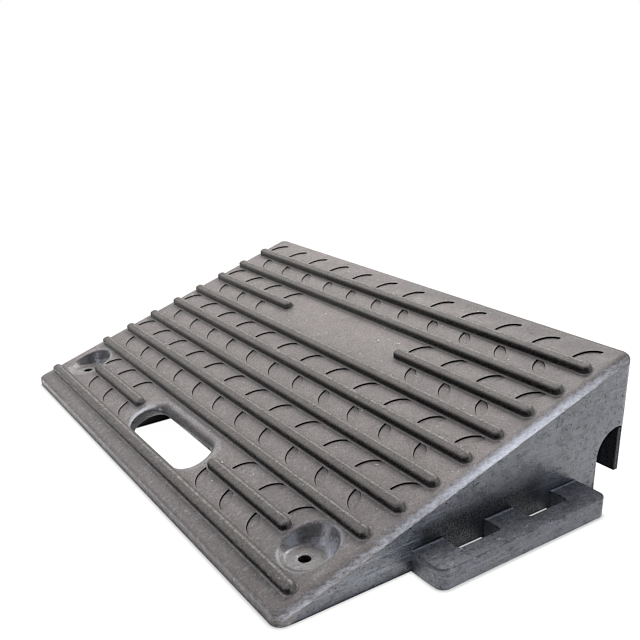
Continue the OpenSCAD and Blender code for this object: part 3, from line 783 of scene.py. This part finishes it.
# On the side towards the toe the foot carries a painted highlight and the wall painted shade; the top edge
# uphill of it is rubbed and carries a painted highlight
toe_side = np.clip(0.5 - 1.1 * end_ways[:, 1], 0, 1)
rubbed = np.maximum(end_ways[:, 1], 0.75 * np.abs(end_ways[:, 0]))
TOE_HIGHLIGHT_AND_SHADE = [0.45, 0.45, 0.72, 0, -0.58, -0.68, -0.72, -0.7,
            -0.66, -0.59, -0.49, -0.38, -0.27, -0.17, -0.09, -0.03]
TOP_WEAR_AND_HIGHLIGHT = [0, 0, 0, 0, 0, 0, 0, 0, 0, 0, 0.1, 0.28, 0.44, 0.53, 0.51, 0.28]
bar_shell = new_shell()
end_layer = bar_shell.verts.layers.float.new("end")
bar_rows = loft(bar_shell, [level_ring((BAR_W / 2 + out) * end_ways, h) for out, h in bar_profile],
                [top * rubbed + toe * toe_side for top, toe in zip(TOP_WEAR_AND_HIGHLIGHT, TOE_HIGHLIGHT_AND_SHADE)])
for row in bar_rows:
    for index, vert in enumerate(row):
        vert[end_layer] = 1.0 if index <= END_STEPS else -1.0
bar_shell.faces.new(bar_rows[-1])
bar_shell.faces.new(bar_rows[0])
bar_pattern = from_shell(bar_shell, "short_bar")
bar_nodes = sorted(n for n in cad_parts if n.startswith("tread_bar_"))
bar_places, bar_reach = [], []
for node in bar_nodes:
    low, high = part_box(node)
    bar_places.append(((low.x + high.x) / 2, row_v(int(node.split("_")[2])) * MM, 0))
    bar_reach.append((high.x - low.x) / 2 - BAR_W / 2 * MM)
print("bars:", len(bar_places), "longest half:", max(bar_reach))

# %% Geometry Nodes tree that stretches the bars
bar_tree, _, _, moved = rows_tree("bar_rows", "Bar", "Bars")
reach, which_end = (add(bar_tree, "GeometryNodeInputNamedAttribute", [name]) for name in ("reach", "end"))
move = add(bar_tree, MATH, (reach, which_end), operation="MULTIPLY")
apart = add(bar_tree, "ShaderNodeCombineXYZ", {"X": move})
bar_tree.links.new(apart.outputs[0], moved.inputs["Offset"])
bars = grow(bar_places, "reach", bar_reach, bar_tree, {"Bar": bar_pattern, "Finish": bar_plastic})
bars.transform(deck_matrix)
bars_shell = bmesh.new()
bars_shell.from_mesh(bars)
finish_piece(bars_shell, "tread_bars", bar_plastic, bar_nodes, sharp=60)

# %% [markdown]
# ## Walls, rail and link tab
# The walls are plain plates in the CAD. A moulding has no razor edges, so a copy of each node is welded and
# the edges that can be touched are rounded. The seams between two nodes of the one moulding are left square,
# so that they close without a groove. Wear needs points to sit on, so some plates are cut into more of them:
# scuffs run on from the deck's edge into the right wall, a painted dark reflection of the tab lies above it,
# and the cable channel is painted dark as shade.

# %% Rounded copies of the plain nodes
# Faces that differ by less than the first angle are one flat; an edge turns by more than the second
FLAT_ANGLE, EDGE_ANGLE = math.radians(1), math.radians(35)
# A wall's edges are rounded from here on below the seam with the deck and behind the toe's face, in mm
SEAM_ROOM, RAIL_BACK = 0.5, 15.1


def rounded_copy(name, node, material, width, pick, segments=3, rubbed=0.6, cuts=(), paint=None):
    """A copy of a CAD node with the picked edges rounded; pick gets an edge's two ends in mm.

    Cuts are planes, each a normal and a point in mm, that give paint more points; paint gets a point in
    mm and gives its wear, or None to leave it.
    """
    shell = bmesh.new()
    shell.from_mesh(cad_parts[node].data)
    for layer in list(shell.verts.layers.float):
        shell.verts.layers.float.remove(layer)
    wear_and_light = shell.verts.layers.float.new("wear")
    bmesh.ops.remove_doubles(shell, verts=shell.verts, dist=WELD)
    bmesh.ops.dissolve_limit(shell, angle_limit=FLAT_ANGLE, verts=shell.verts, edges=shell.edges)
    picked = [e for e in shell.edges if e.is_manifold and e.calc_face_angle() > EDGE_ANGLE
              and pick(e.verts[0].co / MM, e.verts[1].co / MM)]
    made = bmesh.ops.bevel(shell, geom=picked, offset=width * MM, offset_type="OFFSET", segments=segments,
                           profile=0.5, affect="EDGES", clamp_overlap=True)
    for face in made["faces"]:
        for vert in face.verts:
            vert[wear_and_light] = rubbed
    for normal, at in cuts:
        bmesh.ops.bisect_plane(shell, geom=shell.verts[:] + shell.edges[:] + shell.faces[:], dist=1e-6,
                               plane_co=Vector(at) * MM, plane_no=normal)
    for vert in shell.verts:
        painted = paint(vert.co / MM) if paint else None
        if painted is not None:
            vert[wear_and_light] = painted
    return finish_piece(shell, name, material, [node])


def outside_x(a, b):
    """Edges on a side wall's outer face, below the seam with the deck and behind that with the toe rail."""
    lowest = min(TOE_H + (p.y - TOE_Y) * TAN - SLAB - p.z for p in (a, b))
    return (abs(abs(a.x) - SIDE_X) < 0.01 and abs(abs(b.x) - SIDE_X) < 0.01 and lowest > SEAM_ROOM
            and min(a.y, b.y) > TOE_Y + RAIL_BACK)


# %% Side walls and toe rail
ACROSS, AHEAD, UP = Vector((1, 0, 0)), Vector((0, 1, 0)), Vector((0, 0, 1))
DECK_UP = Vector((0, -TAN, 1)).normalized()
# Scuffs by the depth below the deck and by the place along the wall; the painted dark reflection of the tab
# along the wall and up it; in mm
SCUFF_DEPTH, SCUFF_WEAR = [0, 1.5, 3.5, 7], [0.45, 0.32, 0.12, 0]
SCUFF_Y, SCUFF_ALONG = [30, 120, 180, 260], [0.5, 0.8, 1, 0.6]
TAB_REFLECTION_Y, TAB_REFLECTION_ALONG = [98, 112, 212, 240], [0, 1, 1, 0]
TAB_REFLECTION_Z, TAB_REFLECTION_UP = [0, 26, 34, 40, 48], [0.6, 0.6, 0.35, 0.2, 0]
ARCH_FROM, ARCH_TOP, CHANNEL_TOP = 250, 32, 43
ON_FACE, WALL_ROUND, TOE_EDGE, KERB_EDGE, TAB_ROUND = 0.3, 0.8, 0.5, 1.6, 1.3


def wall_wear_and_reflection(point):
    """Scuffs of the deck's edge that run on into the wall, and a painted dark reflection of the tab above it.
    """
    y = point.y - TOE_Y
    if y > ARCH_FROM and point.z < ARCH_TOP:
        return 0.0
    if abs(point.x - SIDE_X) > ON_FACE:
        return None
    below = TOE_H + y * TAN - SLAB - point.z
    if below < SCUFF_DEPTH[-1] - 0.1:
        return float(np.interp(below, SCUFF_DEPTH, SCUFF_WEAR) * np.interp(y, SCUFF_Y, SCUFF_ALONG))
    return -float(np.interp(y, TAB_REFLECTION_Y, TAB_REFLECTION_ALONG) * np.interp(point.z, TAB_REFLECTION_Z, TAB_REFLECTION_UP))


# Cuts along the wall and up it give the scuffs and the painted reflection points to sit on, in mm
CUTS_FROM, CUTS_APART, CUT_LEVELS = 28, 7, (16, 21, 26, 30, 34, 37, 40, 44, 48)
wall_cuts = [(AHEAD, (0, TOE_Y + y, 0)) for y in range(CUTS_FROM, ARCH_FROM, CUTS_APART)]
wall_cuts += [(UP, (0, 0, z)) for z in CUT_LEVELS]
wall_cuts += [(DECK_UP, (0, TOE_Y, TOE_H - SLAB - below)) for below in SCUFF_DEPTH[1:]]
right_wall = rounded_copy("right_side_wall", "right_wall", body_plastic, WALL_ROUND, outside_x,
                          paint=wall_wear_and_reflection, cuts=wall_cuts)
# Behind the tab's windows the foot of the wall is lifted less than in the CAD, and leaves a sliver of light
LOWERED, FOOT_Z, FOOT_Y = 1.5, (2.9, 3.9), (100, 240)
for vert in right_wall.data.vertices:
    if FOOT_Z[0] < vert.co.z / MM < FOOT_Z[1] and FOOT_Y[0] < vert.co.y / MM - TOE_Y < FOOT_Y[1]:
        vert.co.z -= LOWERED * MM
# The left wall's flat face is plain, and only its rounded edges are rubbed
rounded_copy("left_side_wall", "left_wall", body_plastic, WALL_ROUND, outside_x,
             paint=lambda point: 0.0 if abs(point.x + SIDE_X) < 0.01 else None)
rounded_copy("toe_rail_rounded", "toe_rail", tread_plastic, TOE_EDGE,
             lambda a, b: max(a.z, b.z) < 0.1 and max(a.y, b.y) < TOE_Y + 10)

# %% Kerb wall and link tab
# The cable channel is painted dark as shade, darker away from its open ends; the ends of the kerb wall below
# the channel's top are painted dark
CHANNEL_X, CHANNEL_SHADE = [SIDE_X - 40, SIDE_X - 14, SIDE_X - 4], [0.85, 0.55, 0.48]
CHEEK, CHEEK_DARK = 8, 0.62
# Edges are rounded up to this height along the foot, and this near to the ends below the channel's top, in mm
FOOT_TOP, END_DEPTH = 7, 3


def kerb_darkening(point):
    """Painted shade on the kerb wall in the cable channel, darker away from its open ends; the kerb face is
    plain.
    """
    if abs(point.x) > SIDE_X - CHEEK and point.z < CHANNEL_TOP:
        return -CHEEK_DARK
    if point.y > KERB_Y - KERB_EDGE - 0.1:
        return 0.0 if point.y > KERB_Y - 0.01 else None
    return -float(np.interp(abs(point.x), CHANNEL_X, CHANNEL_SHADE))


rounded_copy("kerb_wall_rounded", "kerb_wall", body_plastic, KERB_EDGE,
             lambda a, b: max(a.z, b.z) < FOOT_TOP or (
                 min(abs(a.x), abs(b.x)) > SIDE_X - END_DEPTH and max(a.z, b.z) < CHANNEL_TOP),
             cuts=[(ACROSS, (side * x, 0, 0)) for side in (-1, 1) for x in CHANNEL_X], paint=kerb_darkening)
# How pale the tab's top is up to a distance from the wall in mm, where its arms grow out of it
ROOTS = ((1.4, 0.76), (3.0, 0.45))
TAB_TOP, TAB_SIDE, ARM_TOP = 15.5, (2.5, 13.6), 15
ROOT_CUTS, SIDE_CUTS = (1.3, 3.5), (3, 13.5)


def tab_wear(point):
    """A rough pale line at the wall; the sides below the rounded edge are plain."""
    if point.z > TAB_TOP:
        return next((pale for reach, pale in ROOTS if point.x < SIDE_X + reach), None)
    return 0.0 if TAB_SIDE[0] < point.z < TAB_SIDE[1] else None


rounded_copy("link_tab_rounded", "link_tab", tab_plastic, TAB_ROUND,
             lambda a, b: min(a.x, b.x) > SIDE_X + 0.1 or (abs(a.x - b.x) > 1 and min(a.z, b.z) > ARM_TOP),
             segments=4, rubbed=0.35, paint=tab_wear,
             cuts=[(ACROSS, (SIDE_X + x, 0, 0)) for x in ROOT_CUTS] + [(UP, (0, 0, z)) for z in SIDE_CUTS])

# %% Ribs keep their CAD shape and get the dull inner finish
for name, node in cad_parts.items():
    if "_rib_" in name:
        node.material_slots[0].material = hidden_plastic
print("ribs dressed:", sum("_rib_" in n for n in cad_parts))

# %% [markdown]
# ## Stage and light
# The product stands on a sweep of white paper. The camera sees it plain white, with a soft shadow a few
# millimetres wide along the foot. To everything else it is pale paper, and in three patches it glows like a
# hidden lamp: beside the right wall, before the toe, and below the hand slot, lighting the wall, the toe's
# face and the slot's skirt.

# %% Floor
PAPER, SHADED = 0.8, 0.04
SHADOW_REACH, OPEN, WHITE = 3.5, (0.5, 0.92), (0.55, 0.99)
SLOT_AT = (-0.03, -0.112, 0)
floor_mesh = bpy.data.meshes.new("floor")
floor_mesh.from_pydata([(-4, -4, 0), (4, -4, 0), (4, 4, 0), (-4, 4, 0)], [], [(0, 1, 2, 3)])
floor = put("floor", floor_mesh)
white_sweep = bpy.data.materials.new("white_paper_sweep")
white_sweep.use_nodes = True
sweep = white_sweep.node_tree
sweep.nodes.remove(sweep.nodes["Principled BSDF"])
paper, shade = (
    add(sweep, "ShaderNodeBsdfDiffuse", {"Color": (grey, grey, grey, 1)}) for grey in (PAPER, SHADED))
near = add(sweep, "ShaderNodeAmbientOcclusion", {"Distance": SHADOW_REACH * MM}, samples=16).outputs["AO"]
near = add(sweep, RANGE, (near, *OPEN, *WHITE))
white = add(sweep, "ShaderNodeEmission", {"Strength": near})
spot = add(sweep, "ShaderNodeTexCoord").outputs["Object"]
axes = add(sweep, "ShaderNodeSeparateXYZ", [spot]).outputs
off = add(sweep, "ShaderNodeVectorMath", (spot, SLOT_AT), operation="DISTANCE").outputs["Value"]
# Patches where the paper glows, unseen by the camera: what it changes with, where the change starts and ends
# in metres, and the strength there
glow = {
    # Beside the right wall, fading away from the toe
    "beside": (axes["X"], 0.2455, 0.251, 0, 1), "fading": (axes["Y"], -0.1, 0.22, 2.35, 1.25),
    # Before the toe, strongest on the left
    "before": (axes["Y"], -0.156, -0.17, 0, 1), "leftward": (axes["X"], -0.2, 0.05, 3.8, 2.3),
    # Below the slot
    "through": (off, 0.02, 0.038, 2.2, 0),
}
for label, inputs in glow.items():
    glow[label] = add(sweep, RANGE, inputs)
strongest = glow["through"]
for a, b in (("beside", "fading"), ("before", "leftward")):
    both = add(sweep, MATH, (glow[a], glow[b]), operation="MULTIPLY")
    strongest = add(sweep, MATH, (strongest, both), operation="MAXIMUM")
hidden_glow = add(sweep, "ShaderNodeEmission", {"Strength": strongest})
seen = add(sweep, "ShaderNodeLightPath")
unseen = add(sweep, "ShaderNodeAddShader", (paper, hidden_glow))
lit = add(sweep, "ShaderNodeAddShader", (shade, white))
mixed = add(sweep, "ShaderNodeMixShader", (seen, unseen, lit))
sweep.links.new(mixed.outputs[0], sweep.nodes["Material Output"].inputs["Surface"])
floor_mesh.materials.append(white_sweep)
print("floor glows:", list(glow))

# %% [markdown]
# A soft light close behind rakes over the tread, so the bars and leaf pockets are dark on the side that
# faces the viewer. A larger one fills in from the left, a cool one opens the right wall, and a narrow card
# in front glints in the cups. The surroundings are dim, except to the camera.

# %% Lights and surroundings
AIM, WALL_AIM = (0, 0, 0.05), (0.2, 0, 0.05)
DIM, BRIGHT = 0.25, 1.0


def softbox(name, place, aim, width, height, power, colour):
    """A rectangular soft light at a place, turned to an aim; metres and watts."""
    data = bpy.data.lights.new(name, "AREA")
    data.shape = "RECTANGLE"
    data.size, data.size_y = width, height
    data.energy = power
    data.color = linear(colour)[:3]
    light = put(name, data)
    light.location = place
    light.rotation_euler = (Vector(aim) - Vector(place)).to_track_quat("-Z", "Y").to_euler()


softbox("back_softbox", (-0.35, 0.8, 1.15), AIM, 1.0, 0.8, 21, "#fffdfa")
softbox("left_softbox", (-1.7, 0.35, 1.15), AIM, 2.0, 1.4, 18.5, "#ffffff")
softbox("front_card", (-0.05, -0.8, 0.25), AIM, 0.12, 0.4, 2.4, "#f4f6ff")
softbox("right_softbox", (1.6, 0.6, 0.9), WALL_AIM, 1.2, 1.0, 17, "#e6edff")

world = bpy.data.worlds.new("studio")
scene.world = world
world.use_nodes = True
sky = world.node_tree
dim, bright = (
    add(sky, "ShaderNodeBackground", {"Color": (1, 1, 1, 1), "Strength": s}) for s in (DIM, BRIGHT))
seen = add(sky, "ShaderNodeLightPath")
mixed = add(sky, "ShaderNodeMixShader", (seen, dim, bright))
sky.links.new(mixed.outputs[0], sky.nodes["World Output"].inputs["Surface"])
scene.view_settings.view_transform = "Standard"

# %% [markdown]
# A photograph is sharpened a little before it is shown. The filter works on tones as the eye sees them, so
# the picture is taken to such tones for it and back again.

# %% Sharpening
DISPLAY_GAMMA, SHARPENED = 2.2, 0.055
scene.use_nodes = True
darkroom = scene.node_tree
darkroom.nodes.clear()
taken = add(darkroom, "CompositorNodeRLayers")
tones = add(darkroom, "CompositorNodeGamma", {"Image": taken, "Gamma": 1 / DISPLAY_GAMMA})
crisp = add(darkroom, "CompositorNodeFilter", {"Fac": SHARPENED, "Image": tones}, filter_type="SHARPEN")
shown = add(darkroom, "CompositorNodeGamma", {"Image": crisp, "Gamma": DISPLAY_GAMMA})
add(darkroom, "CompositorNodeComposite", {"Image": shown})
print("sharpening:", SHARPENED)
